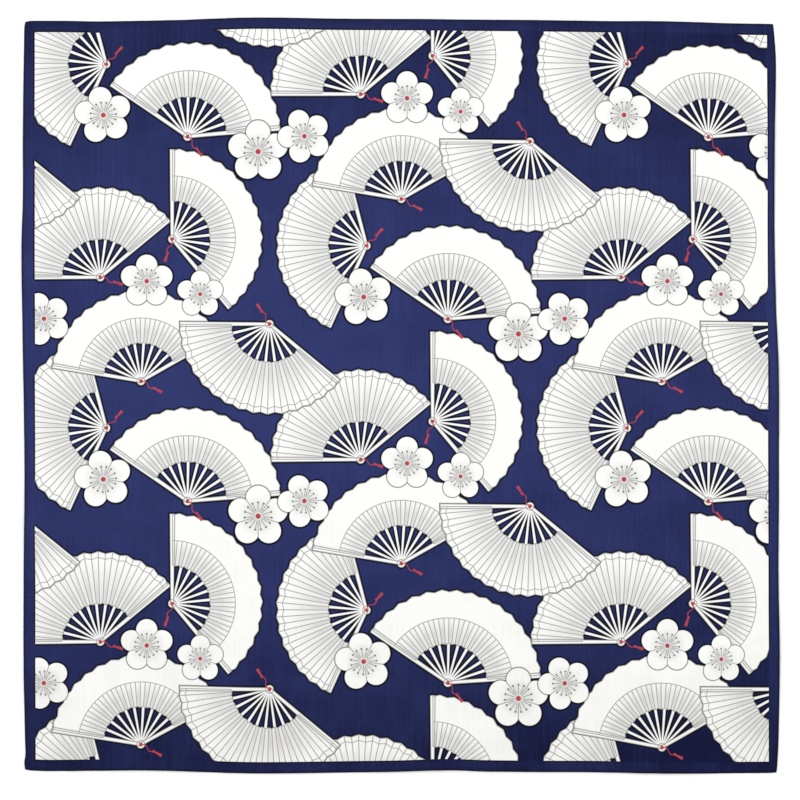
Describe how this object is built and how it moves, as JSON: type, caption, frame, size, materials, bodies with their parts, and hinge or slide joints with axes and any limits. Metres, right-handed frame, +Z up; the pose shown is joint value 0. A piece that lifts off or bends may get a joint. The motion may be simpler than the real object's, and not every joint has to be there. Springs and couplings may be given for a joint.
{
  "type": "furoshiki wrap",
  "caption": "Square printed cotton wrapping cloth with a narrow hem all round, spread out flat for wrapping and carrying things.",
  "frame": {"origin": "under the middle of the cloth's outline, on the surface it lies on", "axes": "+Z up out of the cloth's printed face, +Y towards its top edge, +X towards its right edge"},
  "size_m": [1.0478, 1.0448, 0.0047],
  "materials": {
    "printed_cotton": "matt woven cotton, printed off-white and navy with light grey lines and small red touches",
    "hem_thread": "navy cotton sewing thread"
  },
  "bodies": {
    "root": {"cloth": "printed_cotton"}
  },
  "joints": []
}
